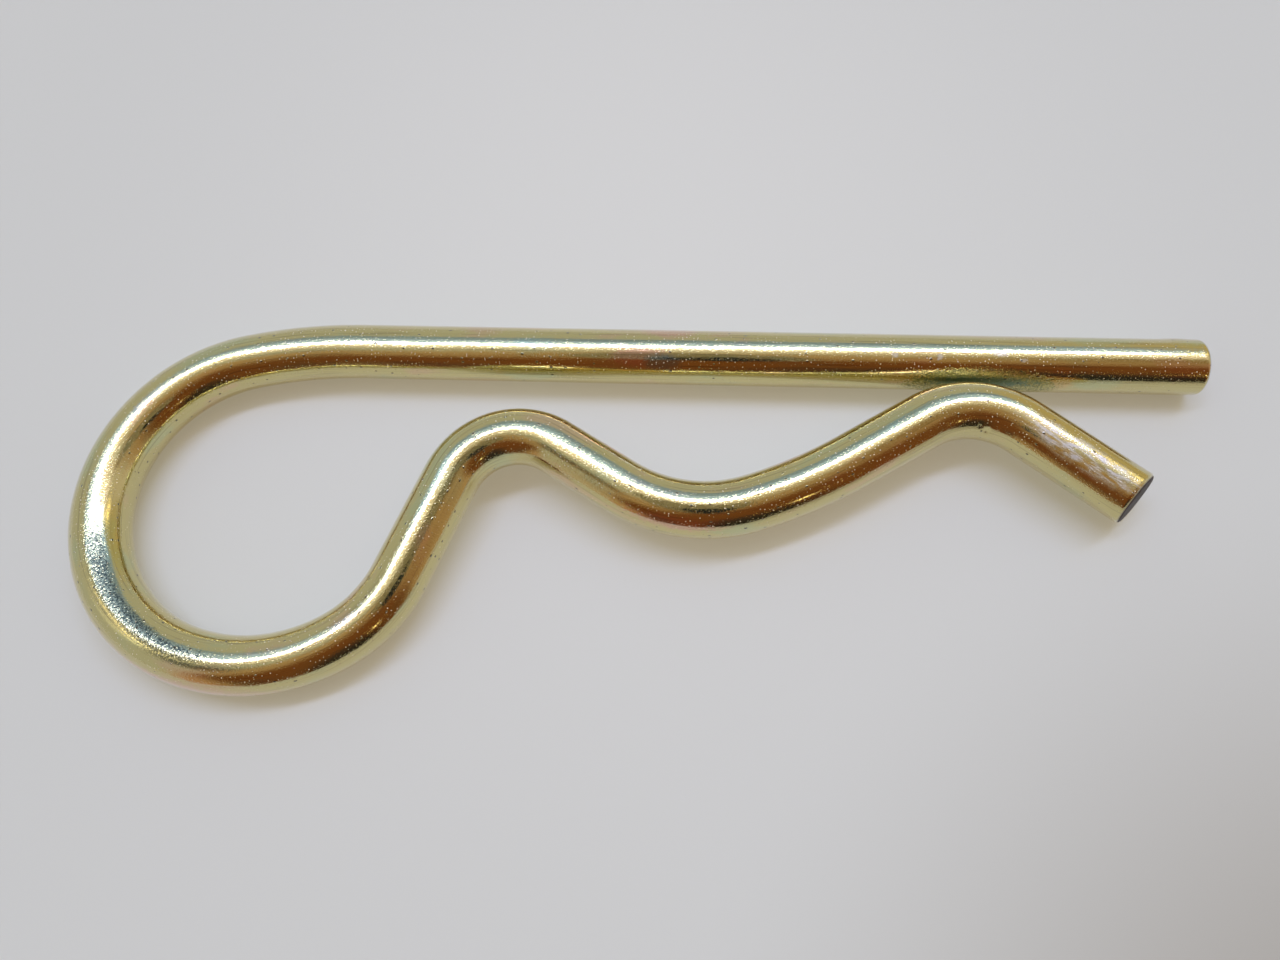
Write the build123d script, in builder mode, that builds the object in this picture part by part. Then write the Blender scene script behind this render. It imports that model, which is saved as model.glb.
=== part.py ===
"""Hitch pin clip, also called an R clip.

One length of hard round wire, cold bent and then plated. A straight leg goes through the cross hole of a
shaft. The wire turns back round a large open eye, and a wavy sprung arm runs beside the leg: over a near
crest, down into a grip that hugs the shaft, over a far crest and out along a flared tail.

Millimetres. The clip lies flat on its side: X runs along the leg to its free end, Y across the clip from
the arm to the leg, Z up. The origin is on the resting plane, at the middle of the clip's outline.
"""

import os
from math import cos, radians, sin, sqrt, tan

from build123d import *

# The wire
wire_diameter = 4.76
leg_length = 72.0  # from the end of the eye's lead-in to the middle of the free end

# The eye: a wide lead-in bend off the leg, a tight main bend, and a belly that opens out again
lead_radius = 42.0
lead_turn = 14.0
eye_radius = 13.5
belly_radius = 15.0
belly_lead_in = 17.0  # degrees of belly before the lowest point of the eye
belly_run_out = 32.0  # degrees of belly after it
throat_radius = 11.0

# The arm: slopes are degrees from the leg's direction
rise_slope = 68.0
near_crest_radius = 6.0
fall_slope = 30.5
grip_radius = 13.0
grip_exit_slope = 19.0
climb_radius = 42.0
climb_slope = 31.0
far_crest_radius = 7.5
tail_slope = 35.5
tail_length = 10.2

# Gaps between the leg's surface and the arm's surface, which set how far each bend stands off the leg
near_crest_gap = 3.7
grip_gap = 9.5
far_crest_gap = 0.6

# The arm's plane is turned a little about the lowest point of the eye, so the arm rides higher than the leg
arm_set = 3.7

# The ends are sheared: a lean tips the end's face up from square, and a turn swings it away from the leg
leg_shear_lean = 2.0
leg_end_rounding = 0.35
tail_shear_lean = 16.0
tail_shear_turn = 6.0
tail_end_rounding = 0.4

wire_radius = wire_diameter / 2
eye_turn = 180 - lead_turn - belly_lead_in


def crosswise(radius, start_slope, end_slope):
    """How far an arc moves across the clip while its slope goes from one angle to another."""
    return radius * (cos(radians(start_slope)) - cos(radians(end_slope)))


# How far the wire's centre line reaches in the eye, downwards and to the left, from the start of the lead-in
eye_low = -(
    crosswise(lead_radius, 0, lead_turn)
    + crosswise(eye_radius, lead_turn, 180 - belly_lead_in)
    + crosswise(belly_radius, 180 - belly_lead_in, 180)
)
eye_left = -(lead_radius - eye_radius) * sin(radians(lead_turn)) - eye_radius


def height_on_arm(gap):
    """Height in the arm's plane, above the eye's lowest point, at which the arm stands this gap off the leg."""
    spacing = wire_diameter + gap
    turn = radians(arm_set)
    return -eye_low * cos(turn) - sqrt(spacing**2 - (eye_low * sin(turn)) ** 2)


# The straight runs of the arm are as long as the three gaps need
near_crest_height = height_on_arm(near_crest_gap)
grip_height = height_on_arm(grip_gap)
far_crest_height = height_on_arm(far_crest_gap)
rise_length = (
    near_crest_height
    - crosswise(belly_radius, 0, belly_run_out)
    - crosswise(throat_radius, belly_run_out, rise_slope)
    - crosswise(near_crest_radius, 0, rise_slope)
) / sin(radians(rise_slope))
fall_length = (
    near_crest_height
    - grip_height
    - crosswise(near_crest_radius, 0, fall_slope)
    - crosswise(grip_radius, 0, fall_slope)
) / sin(radians(fall_slope))
climb_length = (
    far_crest_height
    - grip_height
    - crosswise(grip_radius, 0, grip_exit_slope)
    - crosswise(climb_radius, grip_exit_slope, climb_slope)
    - crosswise(far_crest_radius, 0, climb_slope)
) / sin(radians(climb_slope))

# The leg, the eye and the first part of the belly lie flat, one wire radius above the resting plane
leg_reach = leg_length + (wire_radius - leg_end_rounding) * tan(radians(leg_shear_lean))
middle_of_length = (leg_reach + eye_left - wire_radius) / 2
leg_plane = Plane(origin=(-middle_of_length, -eye_low / 2, wire_radius))

with BuildLine(leg_plane) as flat_path:
    leg = Line((leg_length + wire_diameter, 0), (0, 0))
    lead = JernArc(leg @ 1, leg % 1, lead_radius, lead_turn)
    eye = JernArc(lead @ 1, lead % 1, eye_radius, eye_turn)
    belly = JernArc(eye @ 1, eye % 1, belly_radius, belly_lead_in)

# The arm starts at the lowest point of the eye, in a plane turned about the wire's direction there
set_angle = radians(arm_set)
arm_plane = Plane(origin=belly @ 1, x_dir=belly % 1, z_dir=(0, -sin(set_angle), cos(set_angle)))

with BuildLine(arm_plane) as arm_path:
    belly_end = JernArc(belly @ 1, belly % 1, belly_radius, belly_run_out)
    throat = JernArc(belly_end @ 1, belly_end % 1, throat_radius, rise_slope - belly_run_out)
    rise = Line(throat @ 1, throat @ 1 + (throat % 1) * rise_length)
    near_crest = JernArc(rise @ 1, rise % 1, near_crest_radius, -(rise_slope + fall_slope))
    fall_run = Line(near_crest @ 1, near_crest @ 1 + (near_crest % 1) * fall_length)
    grip = JernArc(fall_run @ 1, fall_run % 1, grip_radius, fall_slope + grip_exit_slope)
    climb_bend = JernArc(grip @ 1, grip % 1, climb_radius, climb_slope - grip_exit_slope)
    climb = Line(climb_bend @ 1, climb_bend @ 1 + (climb_bend % 1) * climb_length)
    far_crest = JernArc(climb @ 1, climb % 1, far_crest_radius, -(climb_slope + tail_slope))
    tail = Line(far_crest @ 1, far_crest @ 1 + (far_crest % 1) * (tail_length + wire_diameter))


def sheared_face(end, direction, up, lean, turn):
    """Plane of a sheared end, from the wire's direction there and the plane that the wire is bent in."""
    side = up.cross(direction)
    turned = direction.rotate(Axis((0, 0, 0), up), -turn)
    return Plane(origin=end, z_dir=turned.rotate(Axis((0, 0, 0), -side), lean))


# Both ends are swept one wire diameter too long, then sheared to length
leg_out = -(leg % 0)
leg_face = sheared_face(leg @ 0 - leg_out * wire_diameter, leg_out, leg_plane.z_dir, leg_shear_lean, 0)
tail_out = tail % 1
tail_face = sheared_face(
    tail @ 1 - tail_out * wire_diameter, tail_out, arm_plane.z_dir, tail_shear_lean, tail_shear_turn
)

with BuildPart() as clip:
    with BuildSketch(Plane(origin=leg @ 0, z_dir=leg % 0)):
        Circle(wire_radius)
    sweep(path=flat_path.wires()[0])
    with BuildSketch(Plane(origin=belly @ 1, z_dir=belly % 1)):
        Circle(wire_radius)
    sweep(path=arm_path.wires()[0])
    with BuildSketch(leg_face, tail_face):
        Circle(wire_diameter)
    extrude(amount=2 * wire_diameter, mode=Mode.SUBTRACT)
    fillet(clip.faces().filter_by(leg_face).edges(), leg_end_rounding)
    fillet(clip.faces().filter_by(tail_face).edges(), tail_end_rounding)

clip.part.label = "clip_wire"
os.makedirs("parts", exist_ok=True)
export_step(clip.part, "parts/clip_wire.step")
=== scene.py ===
"""Looks for the hitch pin clip: one bent wire with bright yellow plating, lying on a pale table.

Metres, in the part's own frame: X along the leg to its free end, Y across from the arm to the leg, Z up from
the table. The wire is drawn here again along the same bends as the solid, with a finer mesh, so that it can
hold the sheared ends, the dents and the worn patches. Each vertex keeps the place that it had on the wire
before bending: how far along, and where round it. The finish is painted in those coordinates.
"""

from math import acos, cos, degrees, exp, hypot, pi, radians, sin, sqrt, tan

import bpy
from mathutils import Matrix, Quaternion, Vector


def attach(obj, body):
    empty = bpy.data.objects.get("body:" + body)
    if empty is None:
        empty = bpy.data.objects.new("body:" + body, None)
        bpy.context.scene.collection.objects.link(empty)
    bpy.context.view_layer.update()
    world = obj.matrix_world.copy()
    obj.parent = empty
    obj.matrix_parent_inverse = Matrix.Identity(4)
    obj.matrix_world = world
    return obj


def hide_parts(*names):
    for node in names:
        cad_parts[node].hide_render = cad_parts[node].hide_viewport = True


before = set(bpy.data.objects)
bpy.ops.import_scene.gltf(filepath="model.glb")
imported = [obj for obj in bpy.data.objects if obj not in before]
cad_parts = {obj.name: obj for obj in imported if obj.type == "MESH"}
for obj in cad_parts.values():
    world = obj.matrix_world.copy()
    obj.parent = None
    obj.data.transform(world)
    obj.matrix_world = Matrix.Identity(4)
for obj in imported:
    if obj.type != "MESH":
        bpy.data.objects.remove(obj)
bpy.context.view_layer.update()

MM = 0.001

# The wire and its bends, the same sizes as the solid's
WIRE_DIAMETER = 4.76 * MM
LEG_LENGTH = 72.0 * MM
LEAD_RADIUS, LEAD_TURN = 42.0 * MM, 14.0
EYE_RADIUS = 13.5 * MM
BELLY_RADIUS, BELLY_LEAD_IN, BELLY_RUN_OUT = 15.0 * MM, 17.0, 32.0
THROAT_RADIUS = 11.0 * MM
RISE_SLOPE = 68.0
NEAR_CREST_RADIUS = 6.0 * MM
FALL_SLOPE = 30.5
GRIP_RADIUS, GRIP_EXIT_SLOPE = 13.0 * MM, 19.0
CLIMB_RADIUS, CLIMB_SLOPE = 42.0 * MM, 31.0
FAR_CREST_RADIUS = 7.5 * MM
TAIL_SLOPE, TAIL_LENGTH = 35.5, 10.2 * MM
NEAR_CREST_GAP, GRIP_GAP, FAR_CREST_GAP = 3.7 * MM, 9.5 * MM, 0.6 * MM
ARM_SET = 3.7
LEG_SHEAR_LEAN, LEG_END_ROUNDING = 2.0, 0.35 * MM
TAIL_SHEAR_LEAN, TAIL_SHEAR_TURN, TAIL_END_ROUNDING = 16.0, 6.0, 0.4 * MM

WIRE_RADIUS = WIRE_DIAMETER / 2
EYE_TURN = 180 - LEAD_TURN - BELLY_LEAD_IN

# The mesh is made of rings round the wire, with smaller rings on the cut faces and their rounded edges
RING_SPACING = 0.25 * MM
RING_POINTS = 96
FACE_RINGS = 6
EDGE_RINGS = 6
SHEAR_BLEND_LENGTH = 2 * WIRE_DIAMETER  # over this length the rings turn from the shear's lean to square


def crosswise(radius, start_slope, end_slope):
    """How far an arc moves across the clip while its slope goes from one angle to another."""
    return radius * (cos(radians(start_slope)) - cos(radians(end_slope)))


EYE_DEPTH = (
    crosswise(LEAD_RADIUS, 0, LEAD_TURN)
    + crosswise(EYE_RADIUS, LEAD_TURN, 180 - BELLY_LEAD_IN)
    + crosswise(BELLY_RADIUS, 180 - BELLY_LEAD_IN, 180)
)
EYE_LEFT = -(LEAD_RADIUS - EYE_RADIUS) * sin(radians(LEAD_TURN)) - EYE_RADIUS


def height_on_arm(gap):
    """Height in the arm's plane at which the arm stands this gap off the leg."""
    turn = radians(ARM_SET)
    return EYE_DEPTH * cos(turn) - sqrt((WIRE_DIAMETER + gap) ** 2 - (EYE_DEPTH * sin(turn)) ** 2)


def run_length(climb, slope, *arcs):
    """Length of the straight run that is left of a climb, once its arcs have taken their share."""
    return (climb - sum(crosswise(*arc) for arc in arcs)) / sin(radians(slope))


def bends():
    """The wire from the leg's free end to the tail's end: for each plane, its steps of (length, turn)."""

    def arc(radius, turn):
        return radius * radians(abs(turn)), turn

    near_crest = height_on_arm(NEAR_CREST_GAP)
    grip = height_on_arm(GRIP_GAP)
    far_crest = height_on_arm(FAR_CREST_GAP)
    rise = run_length(
        near_crest, RISE_SLOPE,
        (BELLY_RADIUS, 0, BELLY_RUN_OUT),
        (THROAT_RADIUS, BELLY_RUN_OUT, RISE_SLOPE),
        (NEAR_CREST_RADIUS, 0, RISE_SLOPE),
    )
    fall = run_length(
        near_crest - grip, FALL_SLOPE,
        (NEAR_CREST_RADIUS, 0, FALL_SLOPE),
        (GRIP_RADIUS, 0, FALL_SLOPE),
    )
    climb = run_length(
        far_crest - grip, CLIMB_SLOPE,
        (GRIP_RADIUS, 0, GRIP_EXIT_SLOPE),
        (CLIMB_RADIUS, GRIP_EXIT_SLOPE, CLIMB_SLOPE),
        (FAR_CREST_RADIUS, 0, CLIMB_SLOPE),
    )
    flat = [
        (LEG_LENGTH, 0),
        arc(LEAD_RADIUS, LEAD_TURN),
        arc(EYE_RADIUS, EYE_TURN),
        arc(BELLY_RADIUS, BELLY_LEAD_IN),
    ]
    arm = [
        arc(BELLY_RADIUS, BELLY_RUN_OUT),
        arc(THROAT_RADIUS, RISE_SLOPE - BELLY_RUN_OUT),
        (rise, 0),
        arc(NEAR_CREST_RADIUS, -(RISE_SLOPE + FALL_SLOPE)),
        (fall, 0),
        arc(GRIP_RADIUS, FALL_SLOPE + GRIP_EXIT_SLOPE),
        arc(CLIMB_RADIUS, CLIMB_SLOPE - GRIP_EXIT_SLOPE),
        (climb, 0),
        arc(FAR_CREST_RADIUS, -(CLIMB_SLOPE + TAIL_SLOPE)),
        (TAIL_LENGTH, 0),
    ]
    turn = radians(ARM_SET)
    return [(Vector((0, 0, 1)), flat), (Vector((0, -sin(turn), cos(turn))), arm)]


def wire_line():
    """Points down the wire's middle: each its distance along, its place, the wire's direction and its up."""
    leg_reach = LEG_LENGTH + (WIRE_RADIUS - LEG_END_ROUNDING) * tan(radians(LEG_SHEAR_LEAN))
    middle = (leg_reach + EYE_LEFT - WIRE_RADIUS) / 2
    place = Vector((LEG_LENGTH - middle, EYE_DEPTH / 2, WIRE_RADIUS))
    direction = Vector((-1, 0, 0))
    along = 0.0
    line = []
    for up, steps in bends():
        for length, turn in steps:
            count = max(2, round(length / RING_SPACING))
            pace = length / count
            half_turn = radians(turn) / count / 2
            half = Quaternion(up, half_turn)
            chord = pace if turn == 0 else pace * sin(half_turn) / half_turn
            for _ in range(count):
                line.append((along, place.copy(), direction.copy(), up))
                direction = half @ direction
                place = place + direction * chord
                direction = (half @ direction).normalized()
                along += pace
    line.append((along, place.copy(), direction.copy(), up))
    return line


WIRE_LINE = wire_line()
WIRE_LENGTH = WIRE_LINE[-1][0]

# A mark's place on the wire is how far along it lies from the leg's free end, and how far round from the top,
# in degrees: positive towards the inside of the eye, negative towards its outside.

# Dents and swellings: along, round, half length, half width in degrees, height
RELIEFS = [
    (2.1 * MM, -90, 1.5 * MM, 75, 0.10 * MM),  # the leg's end is spread where the shear pinched it
    (0.35 * MM, 112, 0.55 * MM, 26, -0.16 * MM),  # a nick in the leg's cut edge
    (WIRE_LENGTH - 0.3 * MM, -72, 0.45 * MM, 16, -0.14 * MM),  # a burr's hollow in the tail's cut edge
    (195.1 * MM, -62, 0.34 * MM, 11, -0.16 * MM),  # a pit on the far crest
    (194.3 * MM, -52, 0.5 * MM, 8, -0.05 * MM),  # a shallow scrape that leads into the pit
    (195.7 * MM, -69, 0.3 * MM, 7, 0.04 * MM),  # metal pushed up beside the pit
]
# In half sizes of a dent: where its slope has nearly run out, and where it is cut off
RELIEF_FOOT, RELIEF_END = 1.2, 2


def round_gap(a, b):
    """Degrees from one place round the wire to another, the short way."""
    return abs((a - b + 180) % 360 - 180)


def relief(along, around):
    """Height of the surface above the plain round wire."""
    height = 0.0
    for mark_along, mark_around, half_length, half_width, rise in RELIEFS:
        reach = hypot((along - mark_along) / half_length, round_gap(around, mark_around) / half_width)
        if reach < RELIEF_END:
            height += rise * exp(-4 * (reach / RELIEF_FOOT) ** 2)
    return height


def sheared_normal(direction, up, lean, turn):
    """Which way a sheared end faces."""
    side = up.cross(direction)
    turned = Quaternion(up, radians(-turn)) @ direction
    return Quaternion(-side, radians(lean)) @ turned


def faces_between(rings):
    """Faces from each ring of points to the next."""
    faces = []
    for near, far in zip(rings, rings[1:]):
        for i in range(RING_POINTS):
            j = (i + 1) % RING_POINTS
            faces.append((near[i], near[j], far[j], far[i]))
    return faces


def wire_mesh():
    """The wire's vertices and faces, then each vertex's place on the unbent wire and its share of cut."""
    _, _, first_direction, first_up = WIRE_LINE[0]
    _, _, last_direction, last_up = WIRE_LINE[-1]
    leg_out, tail_out = -first_direction, last_direction
    leg_normal = sheared_normal(leg_out, first_up, LEG_SHEAR_LEAN, 0)
    tail_normal = sheared_normal(tail_out, last_up, TAIL_SHEAR_LEAN, TAIL_SHEAR_TURN)
    vertices, straight, cut = [], [], []

    def slide(spoke, outward, normal):
        """How far outward a sheared face lies at the end of a spoke from the wire's middle."""
        return -spoke.dot(normal) / outward.dot(normal)

    def add_ring(station, radius, setback, outward, normal, on_cut):
        """One ring of points. With a normal, the ring leans as a sheared face does, less the setback."""
        along, place, direction, up = station
        side = up.cross(direction)
        for i in range(RING_POINTS):
            turn = 2 * pi * i / RING_POINTS
            spoke = up * cos(turn) + side * sin(turn)
            rise = relief(along, degrees(turn)) * radius / WIRE_RADIUS
            point = place + spoke * (radius + rise)
            shift = 0.0
            if normal is not None:
                shift = slide(spoke * radius, outward, normal) - setback
                point = point + outward * shift
            vertices.append(point)
            shifted = along + shift * outward.dot(direction)
            straight.append(Vector((shifted, radius * cos(turn), radius * sin(turn))))
            cut.append(on_cut)

    def add_end(station, outward, normal, rounding):
        """The cut face from its middle outwards, then the rounded edge."""
        for i in range(1, FACE_RINGS + 1):
            add_ring(station, (WIRE_RADIUS - rounding) * i / FACE_RINGS, 0.0, outward, normal, 1.0)
        for i in range(1, EDGE_RINGS + 1):
            angle = pi / 2 * i / EDGE_RINGS
            radius = WIRE_RADIUS - rounding + rounding * sin(angle)
            add_ring(station, radius, rounding * (1 - cos(angle)), outward, normal, 1 - i / EDGE_RINGS)

    def add_leaning_ring(station, from_end, rounding, outward, normal):
        """A ring near an end, which leans less the further it is from the end."""
        ease = 1 - (from_end - rounding) / (SHEAR_BLEND_LENGTH - rounding)
        add_ring(station, WIRE_RADIUS, 0.0, outward, outward.lerp(normal, ease), 0.0)

    add_end(WIRE_LINE[0], leg_out, leg_normal, LEG_END_ROUNDING)
    for station in WIRE_LINE:
        from_leg, from_tail = station[0], WIRE_LENGTH - station[0]
        if LEG_END_ROUNDING < from_leg < SHEAR_BLEND_LENGTH:
            add_leaning_ring(station, from_leg, LEG_END_ROUNDING, leg_out, leg_normal)
        elif TAIL_END_ROUNDING < from_tail < SHEAR_BLEND_LENGTH:
            add_leaning_ring(station, from_tail, TAIL_END_ROUNDING, tail_out, tail_normal)
        elif min(from_leg, from_tail) >= SHEAR_BLEND_LENGTH:
            add_ring(station, WIRE_RADIUS, 0.0, station[2], None, 0.0)
    tail_start = len(vertices)
    add_end(WIRE_LINE[-1], tail_out, tail_normal, TAIL_END_ROUNDING)

    # The tail's own rings were added from its middle outwards, so they are taken in reverse
    rings = [list(range(i, i + RING_POINTS)) for i in range(0, tail_start, RING_POINTS)]
    tail_rings = [list(range(i, i + RING_POINTS)) for i in range(tail_start, len(vertices), RING_POINTS)]
    rings += tail_rings[::-1]
    faces = faces_between(rings)
    for ring, station in ((rings[0], WIRE_LINE[0]), (rings[-1], WIRE_LINE[-1])):
        middle = len(vertices)
        vertices.append(station[1].copy())
        straight.append(Vector((station[0], 0, 0)))
        cut.append(1.0)
        for i in range(RING_POINTS):
            j = (i + 1) % RING_POINTS
            faces.append((ring[j], ring[i], middle) if ring is rings[0] else (ring[i], ring[j], middle))
    return vertices, faces, straight, cut


def mesh_object(name, vertices, faces):
    """An object in the scene with a mesh of these faces."""
    mesh = bpy.data.meshes.new(name)
    mesh.from_pydata(vertices, [], faces)
    item = bpy.data.objects.new(name, mesh)
    bpy.context.scene.collection.objects.link(item)
    return item


def make_wire():
    """The wire, whose mesh carries what its material needs: the unbent places and the shares of cut."""
    vertices, faces, straight, cut = wire_mesh()
    wire = mesh_object("clip_wire_plated", vertices, faces)
    wire.data.attributes.new("straight", "FLOAT_VECTOR", "POINT").data.foreach_set(
        "vector", [value for point in straight for value in point]
    )
    wire.data.attributes.new("cut", "FLOAT", "POINT").data.foreach_set("value", cut)
    wire.data.shade_smooth()
    return wire


class Graph:
    """Adds nodes to a node tree. An input is a plain value or another node's output."""

    def __init__(self, tree):
        self.tree = tree
        tree.nodes.clear()

    def add(self, kind, inputs=(), **settings):
        """A node of this kind, with its settings made and its inputs fed."""
        node = self.tree.nodes.new("ShaderNode" + kind)
        for name, value in settings.items():
            setattr(node, name, value)
        for key, value in dict(inputs).items():
            self.feed(node.inputs[key], value)
        return node

    def feed(self, socket, value):
        if isinstance(value, bpy.types.NodeSocket):
            self.tree.links.new(value, socket)
        elif hasattr(value, "__len__") and socket.type == "RGBA":
            socket.default_value = (*value[:3], 1)
        else:
            socket.default_value = value

    def math(self, operation, a, b=0.0, c=0.0):
        return self.add("Math", {0: a, 1: b, 2: c}, operation=operation).outputs[0]

    def vector(self, operation, a, b=(0, 0, 0)):
        node = self.add("VectorMath", {0: a, 1: b}, operation=operation)
        return node.outputs["Value" if operation in ("DOT_PRODUCT", "LENGTH", "DISTANCE") else "Vector"]

    def product(self, first, *others):
        for other in others:
            first = self.math("MULTIPLY", first, other)
        return first

    def highest(self, first, *others):
        for other in others:
            first = self.math("MAXIMUM", first, other)
        return first

    def total(self, start, *terms):
        """The start, plus each term's value times its weight."""
        for value, weight in terms:
            start = self.math("MULTIPLY_ADD", value, weight, start)
        return start

    def ramp(self, value, start, end, low=0.0, high=1.0):
        """A smooth step from low at start to high at end."""
        inputs = {"Value": value, "From Min": start, "From Max": end, "To Min": low, "To Max": high}
        return self.add("MapRange", inputs, interpolation_type="SMOOTHSTEP").outputs["Result"]

    def band(self, value, middle, half_width, softness):
        """1 round the middle, falling smoothly to 0 where the band's half width ends."""
        distance = self.math("ABSOLUTE", self.math("SUBTRACT", value, middle))
        return self.ramp(distance, half_width + softness, half_width - softness)

    def oval(self, x, y, middle, half_sizes):
        """How far out a place is, in half sizes of an oval."""
        across = self.math("DIVIDE", self.math("SUBTRACT", x, middle[0]), half_sizes[0])
        up = self.math("DIVIDE", self.math("SUBTRACT", y, middle[1]), half_sizes[1])
        return self.vector("LENGTH", self.add("CombineXYZ", {0: across, 1: up}).outputs[0])

    def mix(self, share, a, b):
        node = self.add("Mix", data_type="RGBA")
        self.feed(node.inputs[0], share)
        self.feed(node.inputs[6], a)
        self.feed(node.inputs[7], b)
        return node.outputs[2]

    def noise(self, place, size, detail, roughness):
        """Noise with features of about this size."""
        inputs = {"Vector": place, "Scale": 1 / size, "Detail": detail, "Roughness": roughness}
        return self.add("TexNoise", inputs).outputs["Fac"]


def new_material(name, graph_kind=Graph):
    """A material, and the empty graph that draws it."""
    material = bpy.data.materials.new(name)
    material.use_nodes = True
    return material, graph_kind(material.node_tree)


# The table's colour holds painted light and shade: it is painted palest on the leg's side of the clip, as a
# pool of light, and painted darker towards one corner, as shade
TABLE_HALF_SIZE = 1.5
TABLE_COLOUR, TABLE_EDGE_COLOUR = (0.682, 0.689, 0.682), (0.616, 0.627, 0.622)
TABLE_PAINTED_LIGHT_MIDDLE, TABLE_PAINTED_LIGHT_STRETCH, TABLE_PAINTED_LIGHT_REACH = Vector((0, 25, 0)) * MM, (1.5, 1.15, 1), 100 * MM
TABLE_PAINTED_SHADE_MIDDLE, TABLE_PAINTED_SHADE_COLOUR = Vector((62, -55, 0)) * MM, (0.35, 0.325, 0.285)
TABLE_PAINTED_SHADE_EDGE = (62 * MM, 5 * MM)
TABLE_ROUGHNESS = 0.7
# A share of its paleness comes through from below, as in a light table. That glow is warm and the light from
# above is cool, so the shadows are warm and the open table is neutral.
TABLE_GLOW = 0.34
TABLE_GLOW_TINT, TABLE_LIT_TINT = (1.16, 1.0, 0.74), (0.94, 1.03, 1.01)


def make_floor():
    corners = [(-1, -1), (1, -1), (1, 1), (-1, 1)]
    floor = mesh_object(
        "table", [(x * TABLE_HALF_SIZE, y * TABLE_HALF_SIZE, 0) for x, y in corners], [(0, 1, 2, 3)]
    )
    material, g = new_material("table")
    place = g.add("TexCoord").outputs["Object"]
    # Painted light: the colour fades from the palest middle towards the edge colour
    from_brightest = g.vector("MULTIPLY", g.vector("SUBTRACT", place, TABLE_PAINTED_LIGHT_MIDDLE), TABLE_PAINTED_LIGHT_STRETCH)
    painted_light_fade = g.ramp(g.vector("LENGTH", from_brightest), 0, TABLE_PAINTED_LIGHT_REACH)
    colour = g.mix(painted_light_fade, TABLE_COLOUR, TABLE_EDGE_COLOUR)
    # Painted shade: darker towards one corner
    painted_shade_share = g.ramp(g.vector("DISTANCE", place, TABLE_PAINTED_SHADE_MIDDLE), *TABLE_PAINTED_SHADE_EDGE)
    colour = g.mix(painted_shade_share, colour, TABLE_PAINTED_SHADE_COLOUR)
    shader = g.add("BsdfPrincipled", {
        "Base Color": g.vector("MULTIPLY", colour, TABLE_LIT_TINT),
        "Roughness": TABLE_ROUGHNESS,
    })
    glow = g.add("Emission", {"Color": g.vector("MULTIPLY", colour, TABLE_GLOW_TINT), "Strength": 1.0})
    rays = g.add("LightPath").outputs
    seen = g.highest(rays["Is Camera Ray"], rays["Is Glossy Ray"], rays["Is Transmission Ray"])
    inputs = {0: g.math("MULTIPLY", seen, TABLE_GLOW), 1: shader.outputs[0], 2: glow.outputs[0]}
    g.add("OutputMaterial", {"Surface": g.add("MixShader", inputs).outputs[0]})
    floor.data.materials.append(material)


# The room that the metal reflects. Its sizes and places are in degrees, as seen from the clip.
def sky_vector(azimuth, zenith):
    """One direction of the room: azimuth from +X towards +Y, and zenith down from straight up."""
    turn, fall = radians(azimuth), radians(zenith)
    return Vector((cos(turn) * sin(fall), sin(turn) * sin(fall), cos(fall)))


# In what follows, an edge is a pair of places: where one colour starts to change to the next, and where the
# change is complete.

WALL_COLOUR = (0.51, 0.52, 0.51)

# A long lamp hangs between two ends. Across it, degrees count northwards from the line through the ends, and
# along it they count eastwards from its middle.
LAMP_WEST_END, LAMP_EAST_END, LAMP_END_SOFTNESS = sky_vector(166.5, 31), sky_vector(40.3, 43.3), 2.0
LAMP_MIDDLE, LAMP_HALF_WIDTH, LAMP_SOFTNESS = -1.5, 3.3, 2.0
LAMP_SOUTH_COLOUR, LAMP_NORTH_COLOUR, LAMP_TURNS_COOL = (10.5, 10.8, 15.0), (8.0, 11.0, 18.5), (-1.5, 3)
LAMP_EAST_EDGE = (30.5, 24)
# Past the bright part's east edge, a dimmer warm strip goes on along the lamp
STRIP_COLOUR, STRIP_MIDDLE, STRIP_HALF_WIDTH, STRIP_SOFTNESS = (1.5, 1.35, 1.05), -0.5, 2.0, 1.0
STRIP_WEST_EDGE, STRIP_EAST_EDGE = (0, 10), (42, 36)
# The lamp's light spreads on the ceiling round it, warm on its south side and cool on its north side
WARM_GLOW, COOL_GLOW, GLOW_TURNS_COOL = (1.35, 1.18, 1.20), (0.58, 0.84, 1.55), (-3, 3)
GLOW_SOUTH_EDGE, GLOW_NORTH_EDGE = (-23, -8), (21, 9)

# A dim arched opening stands north of the lamp: its middle and its half sizes, across and along the lamp
ARCH_COLOUR = (0.28, 0.40, 0.66)
ARCH_MIDDLE, ARCH_HALF_SIZES = (18.0, 3.0), (12.0, 33.0)
ARCH_EDGE = (1.12, 0.82)  # in shares of its half sizes

# South of the lamp the room gets warmer and darker, and this side starts east of one azimuth
SOUTH_WALL_COLOUR, SOUTH_WALL_EDGE = (0.64, 0.58, 0.52), (0, -8)
ORANGE_COLOUR, ORANGE_EDGE = (0.48, 0.32, 0.19), (-17, -35)
DARK_COLOUR, DARK_EDGE = (0.190, 0.070, 0.026), (-35, -56)
SOUTH_SIDE_WEST, SOUTH_SIDE_SOFTNESS = -135, 6

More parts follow.
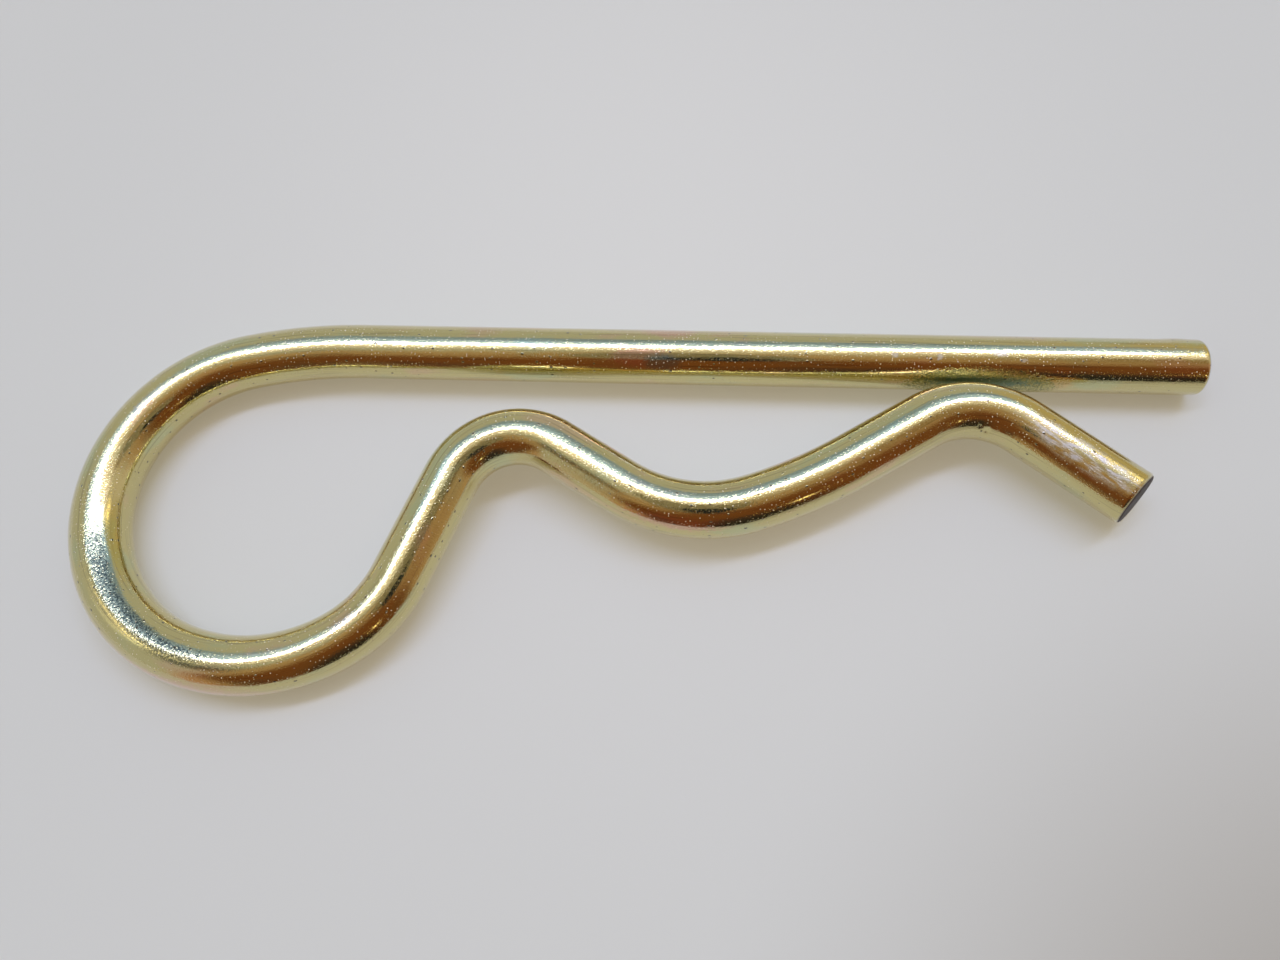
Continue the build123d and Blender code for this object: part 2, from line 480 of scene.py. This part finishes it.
# Soft round areas of the room: azimuth, zenith, radius and softness, then colour
ROOM_AREAS = [
    (0, 62, 30, 14, (0.50, 0.42, 0.27)),  # the warm east wall
    (45, 74, 20, 12, (0.56, 0.46, 0.25)),
    (-150, 40, 8, 6, (0.15, 0.16, 0.18)),  # a gap beside the west window
    (-135, 40, 7, 5, (0.15, 0.10, 0.055)),
]
SOUTH_AREAS = [
    (-8, 30, 8, 9, (0.30, 0.20, 0.11)),
    (-113, 60, 14, 8, (0.16, 0.06, 0.022)),
]
DARK_AREAS = [
    (-68, 84, 18, 8, (0.030, 0.026, 0.022)),
    (-72, 68, 9, 9, (0.05, 0.035, 0.03)),
    (-110, 80, 9, 9, (0.10, 0.05, 0.035)),
]
BRIGHT_AREAS = [
    (-52.5, 64.5, 1.5, 1.3, (4.5, 3.7, 2.0)),  # a small lamp
    (-173, 40, 2.5, 2.5, (3.4, 3.0, 2.3)),  # the west window, in four parts
    (178, 42, 2.5, 3.0, (1.7, 1.5, 1.2)),
    (-166, 48, 3.5, 3.5, (1.5, 1.4, 1.1)),
    (-168, 57, 5.0, 5.0, (0.85, 0.85, 0.8)),
    (32, 52, 4.5, 4.0, (2.6, 2.1, 1.2)),  # a lit corner beyond the long lamp's east end
]


def make_world():
    world = bpy.data.worlds.new("studio")
    world.use_nodes = True
    bpy.context.scene.world = world
    g = Graph(world.node_tree)
    toward = g.vector("NORMALIZE", g.add("TexCoord").outputs["Generated"])

    def apart(azimuth, zenith):
        """Degrees from one direction of the room."""
        closeness = g.vector("DOT_PRODUCT", toward, sky_vector(azimuth, zenith))
        return g.math("DEGREES", g.math("ARCCOSINE", closeness))

    def beyond(normal):
        """Degrees past the plane through the clip that has this normal."""
        return g.math("DEGREES", g.math("ARCSINE", g.vector("DOT_PRODUCT", toward, normal)))

    def areas_over(colour, areas):
        for azimuth, zenith, radius, soft, tone in areas:
            colour = g.mix(g.ramp(apart(azimuth, zenith), radius + soft, radius - soft), colour, tone)
        return colour

    middle = (LAMP_WEST_END + LAMP_EAST_END).normalized()
    northward_pole = LAMP_WEST_END.cross(LAMP_EAST_END).normalized()
    half_length = degrees(acos(LAMP_WEST_END.dot(LAMP_EAST_END))) / 2
    across = beyond(northward_pole)
    along = beyond(northward_pole.cross(middle))
    within_ends = g.band(along, 0, half_length, LAMP_END_SOFTNESS)

    south = g.mix(g.ramp(across, *ORANGE_EDGE), SOUTH_WALL_COLOUR, ORANGE_COLOUR)
    south = areas_over(south, SOUTH_AREAS)
    south = g.mix(g.ramp(across, *DARK_EDGE), south, areas_over(DARK_COLOUR, DARK_AREAS))
    eastward = beyond(sky_vector(SOUTH_SIDE_WEST + 90, 90))
    south_share = g.product(
        g.ramp(across, *SOUTH_WALL_EDGE), g.ramp(eastward, -SOUTH_SIDE_SOFTNESS, SOUTH_SIDE_SOFTNESS)
    )
    colour = g.mix(south_share, areas_over(WALL_COLOUR, ROOM_AREAS), south)

    arch_share = g.ramp(g.oval(across, along, ARCH_MIDDLE, ARCH_HALF_SIZES), *ARCH_EDGE)
    colour = g.mix(arch_share, colour, ARCH_COLOUR)

    glow_share = g.product(g.ramp(across, *GLOW_SOUTH_EDGE), g.ramp(across, *GLOW_NORTH_EDGE), within_ends)
    glow_colour = g.mix(g.ramp(across, *GLOW_TURNS_COOL), WARM_GLOW, COOL_GLOW)
    colour = g.mix(glow_share, colour, glow_colour)
    strip_share = g.product(
        g.band(across, STRIP_MIDDLE, STRIP_HALF_WIDTH, STRIP_SOFTNESS),
        g.ramp(along, *STRIP_WEST_EDGE),
        g.ramp(along, *STRIP_EAST_EDGE),
    )
    colour = g.mix(strip_share, colour, STRIP_COLOUR)
    lamp_share = g.product(
        g.band(across, LAMP_MIDDLE, LAMP_HALF_WIDTH, LAMP_SOFTNESS),
        g.ramp(along, *LAMP_EAST_EDGE),
        within_ends,
    )
    lamp_colour = g.mix(g.ramp(across, *LAMP_TURNS_COOL), LAMP_SOUTH_COLOUR, LAMP_NORTH_COLOUR)
    colour = g.mix(lamp_share, colour, lamp_colour)
    colour = areas_over(colour, BRIGHT_AREAS)

    colour = g.mix(g.add("LightPath").outputs["Is Camera Ray"], colour, TABLE_EDGE_COLOUR)
    background = g.add("Background", {"Color": colour, "Strength": 1.0})
    g.add("OutputWorld", {"Surface": background.outputs[0]})


# The plating is bright yellow, with faint films of pink, orange, green and blue. It is mottled where it was
# worn or rubbed, and missing from the sheared faces. Its colour also holds painted light: pale dots as
# painted glints, and a teal patch on the leg beside the near crest as painted reflection and shade.
PLATING = (0.64, 0.555, 0.228)
PINK_FILM, ORANGE_FILM = (0.72, 0.47, 0.30), (0.76, 0.48, 0.20)
GREEN_FILM, BLUE_FILM = (0.52, 0.58, 0.32), (0.40, 0.47, 0.44)
STREAK_COLOUR = (0.30, 0.24, 0.10)
WORN_DULL, WORN_PLATING = (0.12, 0.125, 0.075), (0.56, 0.51, 0.27)
CONTACT_DULL, CONTACT_PLATING = (0.30, 0.30, 0.13), (0.62, 0.56, 0.25)
# Painted reflection and shade: the arm's teal reflection in the leg above the near crest, darkened where the
# arm shades it
PAINTED_CREST_REFLECTION_AND_SHADE = (0.22, 0.32, 0.26)
PIT_COLOUR, PIT_STRENGTH = (0.06, 0.055, 0.035), 0.9
# Painted glints: pale dots of plain, non-metal colour that stand in for the plating's crystals catching the
# lamp
PAINTED_GLINT_COLOUR = (0.95, 0.82, 0.52)
FLECK_COLOUR = (0.60, 0.60, 0.60)
SHEARED_LEG, SHEARED_TAIL = (0.07, 0.055, 0.04), (0.035, 0.018, 0.010)

# Marks on the plating: along in mm, round in degrees, half length in mm, half width in degrees, and then how
# ragged and how soft the edge is, where it isn't as usual
MARK_RAGGED, MARK_SOFT = 0.5, 0.35
WORN_MARKS = [(107, 18, 4.2, 15), (111.5, 12, 4.6, 15), (116.5, 3, 4.2, 13)]
CONTACT_MARK = (18.6, 78, 6.3, 42, 0.3, 0.12)
# Where the painted reflection and shade of the arm lies on the leg
PAINTED_CREST_REFLECTION_AND_SHADE_MARK = (18.7, 68, 4.2, 13, 0.5, 0.4)
TAIL_FLECKS_MARK = (203.2, -9, 5.0, 24, 0.3, 0.5)
LEG_FLECK_STRENGTH = 0.45
LEG_FLECK_MARKS = [
    (26, 14, 0.3, 6, 0.9, 0.5),
    (22.3, 16, 0.25, 6, 0.9, 0.5),
    (17.3, 8, 0.6, 5, 0.9, 0.5),
    (15.4, 20, 0.3, 4, 0.9, 0.5),
]
# Patches of film: colour, strength and mark
FILM_MARKS = [
    (PINK_FILM, 1.0, (47.4, 28, 2.4, 20)),
    (BLUE_FILM, 1.0, (45.6, 38, 1.5, 16)),
    (PINK_FILM, 1.0, (45, -40, 2.2, 20)),
    (ORANGE_FILM, 0.6, (12.2, 60, 1.1, 26)),
    (PINK_FILM, 1.0, (117, -76, 6, 18, 0.9, 0.5)),
    (PINK_FILM, 1.0, (168, -46, 3.4, 14, 0.9, 0.5)),
    (ORANGE_FILM, 1.0, (161, 66, 1.2, 9)),
]

# Noises: the size of their features, then detail and roughness
FINE_NOISE = (0.3 * MM, 2, 0.6)
GRIT_NOISE = (0.12 * MM, 1, 0.5)
MOTTLE_NOISE = (0.15 * MM, 2, 0.7)
PEBBLE_NOISE = (0.22 * MM, 2, 0.7)
PEEL_NOISE = (0.9 * MM, 2, 0.5)
SCATTER_NOISE = (1.6 * MM, 2, 0.6)
GROOVE_NOISE, GROOVE_STRETCH = (0.2 * MM, 3, 0.6), (1, 1, 0.08)
# Noises drawn out along the wire: the length and width of their features, then detail and roughness
FLECK_NOISE = (1.5 * MM, 0.30 * MM, 3, 0.55)
STREAK_NOISE = (9 * MM, 0.16 * MM, 3, 0.6)
FILM_WIDTH, FILM_STRETCH = 2.6 * MM, 0.35
FILM_NOISE = (FILM_WIDTH / FILM_STRETCH, FILM_WIDTH, 3, 0.55)
# How a noise turns into a share: the values between which it changes, and the shares if they aren't 0 and 1
PINK_RANGE, GREEN_RANGE = (0.56, 0.70, 0, 0.55), (0.46, 0.32, 0, 0.6)
STREAK_RANGE, FLECK_RANGE = (0.46, 0.32, 0, 0.45), (0.38, 0.68, 0, 0.85)
SCATTER_RANGE, MOTTLE_RANGE, GRIT_RANGE = (0.40, 0.56, 0.35, 1), (0.40, 0.60), (0.50, 0.72)

# Grains lie at most one to a cell: the cell's size, the share of cells that hold one, the largest radius, and
# how much longer than wide they are
# The painted glints are small pale domes
PAINTED_GLINT_GRAINS = (0.32 * MM, 0.56, 0.054 * MM, 1.0)
PIT_GRAINS = (0.8 * MM, 0.50, 0.10 * MM, 1.6)
GRAIN_EDGE = (1, 0.5)  # in shares of a grain's radius
SMALLEST_GRAIN = 0.001  # in cells, so that an empty cell doesn't divide by zero

# How high the skin's features stand, or how deep they go
PEEL_HEIGHT, FINE_HEIGHT, GRIT_HEIGHT, STREAK_HEIGHT = 0.010 * MM, 0.0025 * MM, 0.0037 * MM, 0.0035 * MM
PAINTED_GLINT_HEIGHT, PIT_DEPTH, PEBBLE_HEIGHT, GROOVE_HEIGHT = 0.012 * MM, 0.015 * MM, 0.014 * MM, 0.07 * MM
CONTACT_PEBBLES = 3.0  # how many times rougher the contact patch is than the worn one

# Roughness of the plain skin, and what each kind of mark adds to it
SKIN_ROUGHNESS, STREAK_ROUGHNESS, WORN_ROUGHNESS = 0.03, 0.05, 0.02
CONTACT_ROUGHNESS, BARE_ROUGHNESS, FLECK_AND_GLINT_ROUGHNESS = 0.24, 0.5, 0.35
COAT_IOR, COAT_ROUGHNESS, COAT_WORN_OFF = 1.7, 0.03, 0.85
BARE_EDGE = (0.32, 0.65)  # where the plating is broken on a rounded edge, from its rim 0 to the cut face 1


class WireSkin(Graph):
    """The plating's graph, with its marks laid out on the unbent wire. Each mark is a share from 0 to 1."""

    def __init__(self, tree):
        super().__init__(tree)
        self.place = self.add("Attribute", attribute_name="straight").outputs["Vector"]
        parts = self.add("SeparateXYZ", {0: self.place}).outputs
        self.along = self.math("DIVIDE", parts[0], MM)
        self.around = self.math("DEGREES", self.math("ARCTAN2", parts[2], parts[1]))
        girth = self.math("MULTIPLY", self.math("RADIANS", self.around), WIRE_RADIUS)
        self.unrolled = self.add("CombineXYZ", {0: parts[0], 1: girth}).outputs[0]

        self.fine = self.noise(self.place, *FINE_NOISE)
        self.streak = self.stretched_noise(*STREAK_NOISE)
        self.worn = self.highest(*[self.mark(*worn) for worn in WORN_MARKS])
        self.contact = self.mark(*CONTACT_MARK)
        drawn_out = self.ramp(self.stretched_noise(*FLECK_NOISE), *FLECK_RANGE)
        tail_flecks = self.math("MULTIPLY", self.mark(*TAIL_FLECKS_MARK), drawn_out)
        leg_flecks = self.highest(*[self.mark(*fleck) for fleck in LEG_FLECK_MARKS])
        self.flecks = self.highest(tail_flecks, self.math("MULTIPLY", leg_flecks, LEG_FLECK_STRENGTH))
        self.pits = self.grains(*PIT_GRAINS)
        scattered = self.ramp(self.noise(self.place, *SCATTER_NOISE), *SCATTER_RANGE)
        # Painted glints: pale specks scattered over the plating
        self.painted_glints = self.math("MULTIPLY", self.grains(*PAINTED_GLINT_GRAINS), scattered)
        self.flecks_and_painted_glints = self.math("MAXIMUM", self.flecks, self.painted_glints)
        self.bare = self.ramp(self.add("Attribute", attribute_name="cut").outputs["Fac"], *BARE_EDGE)

    def stretched_noise(self, length, width, detail, roughness):
        """Noise drawn out along the wire."""
        squeezed = self.vector("MULTIPLY", self.place, (width / length, 1, 1))
        return self.noise(squeezed, width, detail, roughness)

    def mark(self, along, around, half_length, half_width, ragged=MARK_RAGGED, soft=MARK_SOFT):
        """An oval mark with a ragged edge."""
        reach = self.oval(self.along, self.around, (along, around), (half_length, half_width))
        reach = self.math("MULTIPLY_ADD", self.math("SUBTRACT", self.fine, 0.5), ragged * 2, reach)
        return self.ramp(reach, 1 + soft, 1 - soft)

    def grains(self, cell, share, radius, stretch):
        """Small scattered grains of different sizes."""
        spread = self.vector("MULTIPLY", self.unrolled, (1 / stretch, 1, 1))
        inputs = {"Vector": spread, "Scale": 1 / cell, "Randomness": 1.0}
        cells = self.add("TexVoronoi", inputs, voronoi_dimensions="2D")
        pick = self.add("SeparateColor", {0: cells.outputs["Color"]}).outputs[0]
        size = self.math("MAXIMUM", self.ramp(pick, share, 0.0, 0.0, radius / cell), SMALLEST_GRAIN)
        return self.ramp(self.math("DIVIDE", cells.outputs["Distance"], size), *GRAIN_EDGE)


def plated_colour(skin):
    """Films and streaks first, then the worn patches and the painted reflection and shade beside the near
    crest, and last what lies on the plating or breaks it: flecks, pits, painted glints and the bare cut
    faces.
    """
    film = skin.stretched_noise(*FILM_NOISE)
    colour = skin.mix(skin.ramp(film, *PINK_RANGE), PLATING, PINK_FILM)
    colour = skin.mix(skin.ramp(film, *GREEN_RANGE), colour, GREEN_FILM)
    for film_colour, strength, mark in FILM_MARKS:
        colour = skin.mix(skin.math("MULTIPLY", skin.mark(*mark), strength), colour, film_colour)
    colour = skin.mix(skin.ramp(skin.streak, *STREAK_RANGE), colour, STREAK_COLOUR)
    mottle = skin.ramp(skin.noise(skin.place, *MOTTLE_NOISE), *MOTTLE_RANGE)
    colour = skin.mix(skin.worn, colour, skin.mix(mottle, WORN_DULL, WORN_PLATING))
    colour = skin.mix(skin.contact, colour, skin.mix(mottle, CONTACT_DULL, CONTACT_PLATING))
    # Painted reflection and shade of the arm, on the leg above the near crest
    colour = skin.mix(skin.mark(*PAINTED_CREST_REFLECTION_AND_SHADE_MARK), colour, PAINTED_CREST_REFLECTION_AND_SHADE)
    colour = skin.mix(skin.flecks, colour, FLECK_COLOUR)
    colour = skin.mix(skin.math("MULTIPLY", skin.pits, PIT_STRENGTH), colour, PIT_COLOUR)
    # Painted glints: pale dots over the plating
    colour = skin.mix(skin.painted_glints, colour, PAINTED_GLINT_COLOUR)
    on_tail = skin.math("GREATER_THAN", skin.along, WIRE_LENGTH / MM / 2)
    return skin.mix(skin.bare, colour, skin.mix(on_tail, SHEARED_LEG, SHEARED_TAIL))


def plated_roughness(skin):
    return skin.total(
        SKIN_ROUGHNESS,
        (skin.streak, STREAK_ROUGHNESS),
        (skin.worn, WORN_ROUGHNESS),
        (skin.contact, CONTACT_ROUGHNESS),
        (skin.bare, BARE_ROUGHNESS),
        (skin.flecks_and_painted_glints, FLECK_AND_GLINT_ROUGHNESS),
    )


def plated_height(skin):
    """Height of the skin above the smooth wire, in metres."""
    peel = skin.noise(skin.place, *PEEL_NOISE)
    grit = skin.ramp(skin.noise(skin.place, *GRIT_NOISE), *GRIT_RANGE)
    rubbed = skin.math("MULTIPLY_ADD", skin.contact, CONTACT_PEBBLES, skin.worn)
    pebbles = skin.math("MULTIPLY", skin.noise(skin.place, *PEBBLE_NOISE), rubbed)
    down_the_shear = skin.vector("MULTIPLY", skin.add("TexCoord").outputs["Object"], GROOVE_STRETCH)
    grooves = skin.math("MULTIPLY", skin.noise(down_the_shear, *GROOVE_NOISE), skin.bare)
    return skin.total(
        0.0,
        (peel, PEEL_HEIGHT),
        (skin.fine, FINE_HEIGHT),
        (grit, GRIT_HEIGHT),
        (skin.streak, STREAK_HEIGHT),
        (skin.painted_glints, PAINTED_GLINT_HEIGHT),
        (skin.pits, -PIT_DEPTH),
        (pebbles, PEBBLE_HEIGHT),
        (grooves, GROOVE_HEIGHT),
    )


def plated_material():
    """Metal under a clear coat, which is thin where the wire was worn and missing where it is bare."""
    material, skin = new_material("plated_wire", WireSkin)
    bump = skin.add("Bump", {"Height": plated_height(skin), "Strength": 1.0, "Distance": 1.0}).outputs[0]
    coat_lost = skin.math("MULTIPLY", skin.math("MAXIMUM", skin.contact, skin.worn), COAT_WORN_OFF)
    shader = skin.add("BsdfPrincipled", {
        "Base Color": plated_colour(skin),
        # The flecks and the painted glints are not metal
        "Metallic": skin.math("SUBTRACT", 1.0, skin.math("MAXIMUM", skin.flecks_and_painted_glints, skin.bare)),
        "Roughness": plated_roughness(skin),
        "Normal": bump,
        "Coat Weight": skin.math("SUBTRACT", 1.0, skin.math("MAXIMUM", coat_lost, skin.bare)),
        "Coat IOR": COAT_IOR,
        "Coat Roughness": COAT_ROUGHNESS,
        "Coat Normal": bump,
    })
    skin.add("OutputMaterial", {"Surface": shader.outputs[0]})
    return material


# The camera stood close over the clip, a little on the arm's side
CAMERA_PLACE = Vector((3.796, -22.286, 71.705)) * MM
CAMERA_RIGHT = Vector((0.99848, 0.04088, -0.03687))
CAMERA_BACK = Vector((0.04849, -0.33596, 0.94063))
CAMERA_LENS, CAMERA_SENSOR_WIDTH = 24.82, 36
CAMERA_CLIP_START = 1 * MM


def make_camera():
    data = bpy.data.cameras.new("camera")
    data.sensor_fit = "HORIZONTAL"
    data.sensor_width = CAMERA_SENSOR_WIDTH
    data.lens = CAMERA_LENS
    data.clip_start = CAMERA_CLIP_START
    camera = bpy.data.objects.new("camera", data)
    bpy.context.scene.collection.objects.link(camera)
    up = CAMERA_BACK.cross(CAMERA_RIGHT)
    axes = Matrix((CAMERA_RIGHT, up, CAMERA_BACK)).transposed()
    camera.matrix_world = Matrix.Translation(CAMERA_PLACE) @ axes.to_4x4()
    bpy.context.scene.camera = camera


# The dark lens and the tan body round it stood where the camera stood, and show in the metal. Each is a flat
# oval: its middle, half width, reach above and below the middle, how far back it stands, and its colour.
LENS_FRONT = ((5 * MM, -6 * MM), 11 * MM, 11 * MM, 11 * MM, 2 * MM, (0.02, 0.025, 0.03))
CAMERA_BODY = ((0, 0), 22 * MM, 28 * MM, 15 * MM, 4 * MM, (0.52, 0.42, 0.26))
FRONT_RIM_POINTS = 48
FRONT_ROUGHNESS = 0.6


def make_camera_front(name, middle, half_width, above, below, setback, colour):
    """A flat oval where the camera stood, which only the metal's reflections see."""
    rim = []
    for i in range(FRONT_RIM_POINTS):
        turn = 2 * pi * i / FRONT_RIM_POINTS
        reach = above if sin(turn) > 0 else below
        rim.append((middle[0] + half_width * cos(turn), middle[1] + reach * sin(turn), setback))
    front = mesh_object(name, rim, [tuple(range(FRONT_RIM_POINTS))])
    front.matrix_world = bpy.context.scene.camera.matrix_world.copy()
    for rays in ("camera", "diffuse", "shadow", "transmission", "volume_scatter"):
        setattr(front, "visible_" + rays, False)
    material, g = new_material(name)
    shader = g.add("BsdfPrincipled", {"Base Color": colour, "Roughness": FRONT_ROUGHNESS})
    g.add("OutputMaterial", {"Surface": shader.outputs[0]})
    front.data.materials.append(material)


wire = make_wire()
wire.data.materials.append(plated_material())
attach(wire, "root")
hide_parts("clip_wire")
make_floor()
make_world()
make_camera()
make_camera_front("lens_front", *LENS_FRONT)
make_camera_front("camera_body", *CAMERA_BODY)
bpy.context.scene.view_settings.view_transform = "Standard"
